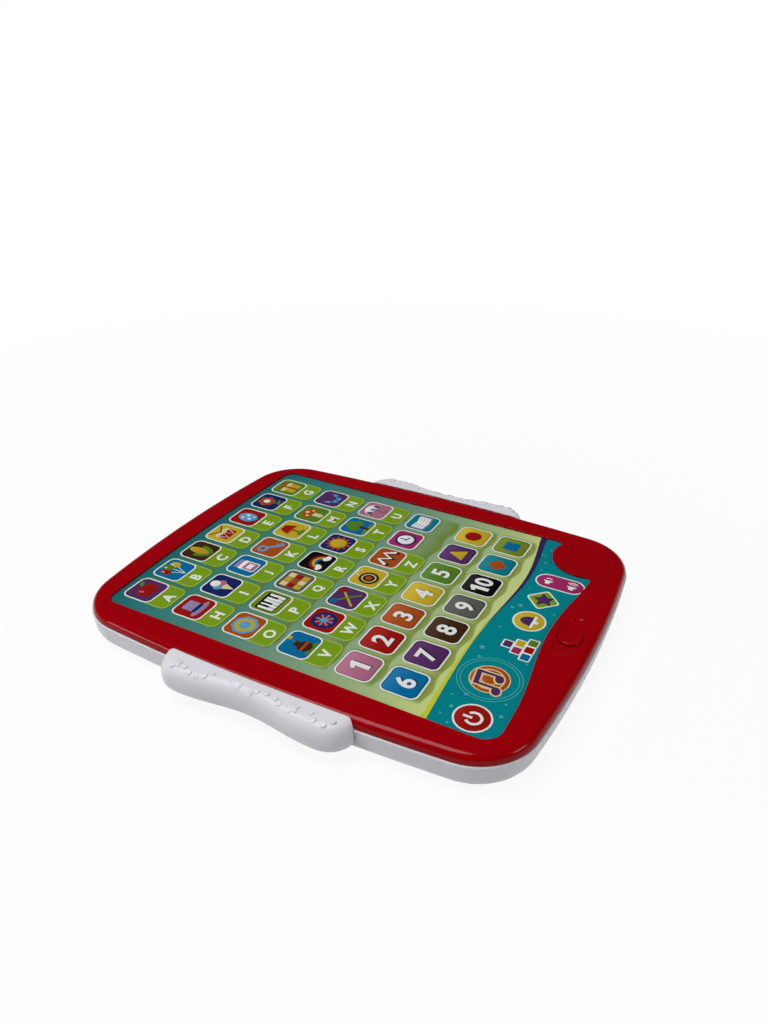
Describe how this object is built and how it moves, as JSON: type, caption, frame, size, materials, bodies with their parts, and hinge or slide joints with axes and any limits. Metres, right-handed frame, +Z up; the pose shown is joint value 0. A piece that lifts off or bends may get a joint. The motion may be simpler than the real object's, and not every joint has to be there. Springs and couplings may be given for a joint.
{
  "type": "kids toy tablet",
  "caption": "Kids' learning tablet toy: red bezel, white back and side grips, printed touch keys, home button and corner speaker",
  "frame": {"origin": "the point under the middle of the body on the plane it rests on, lying on its back", "axes": "+Z up out of the printed screen, +Y towards the top of the screen, +X to the viewer's right"},
  "size_m": [0.222, 0.2502, 0.0204],
  "materials": {
    "red_plastic": "glossy",
    "white_plastic": "satin",
    "printed_film": "glossy",
    "clear_film": "satin",
    "grey_plastic": "matte",
    "circuit_board": "satin",
    "steel": "satin",
    "black_plastic": "satin",
    "speaker_paper": "matte",
    "foam": "matte",
    "silicone": "matte",
    "cell_jacket": "glossy",
    "red_insulation": "satin",
    "black_insulation": "satin"
  },
  "bodies": {
    "case": {"backing_panel": "grey_plastic", "black_lead": "black_insulation", "board_screw_1": "steel", "board_screw_2": "steel", "board_screw_3": "steel", "board_screw_4": "steel", "button_board": "circuit_board", "button_board_screw_1": "steel", "button_board_screw_2": "steel", "button_dome": "silicone", "button_ribbon": "clear_film", "capacitor": "black_plastic", "case_screw_1": "steel", "case_screw_2": "steel", "case_screw_3": "steel", "case_screw_4": "steel", "case_screw_5": "steel", "case_screw_6": "steel", "case_screw_7": "steel", "case_screw_8": "steel", "cell_1": "cell_jacket", "cell_2": "cell_jacket", "cell_3": "cell_jacket", "cell_spring_1": "steel", "cell_spring_2": "steel", "cell_spring_3": "steel", "controller_blob": "black_plastic", "front_bezel": "red_plastic", "keypad_tail": "clear_film", "left_bridge": "steel", "left_grip": "white_plastic", "main_board": "circuit_board", "negative_contact": "steel", "positive_contact": "steel", "printed_overlay": "printed_film", "rear_shell": "white_plastic", "red_lead": "red_insulation", "right_bridge": "steel", "right_grip": "white_plastic", "sensor_sheet": "clear_film", "speaker_basket": "steel", "speaker_cone": "speaker_paper", "speaker_gasket": "foam", "speaker_lead_black": "black_insulation", "speaker_lead_red": "red_insulation", "speaker_magnet": "steel", "tail_socket": "grey_plastic"},
    "button": {"home_button": "red_plastic"},
    "door": {"battery_door": "white_plastic", "door_screw": "steel"}
  },
  "joints": [
    {"name": "home_press", "type": "slide", "parent": "case", "child": "button", "axis": [0, 0, -1], "range_m": [0, 0.0012], "stiffness_N_per_m": 600, "deforming": ["button_dome"]},
    {"name": "door_swing", "type": "hinge", "parent": "case", "child": "door", "pos_m": [0, -0.00565, 0], "axis": [-1, 0, 0], "range_deg": [0, 75]}
  ]
}
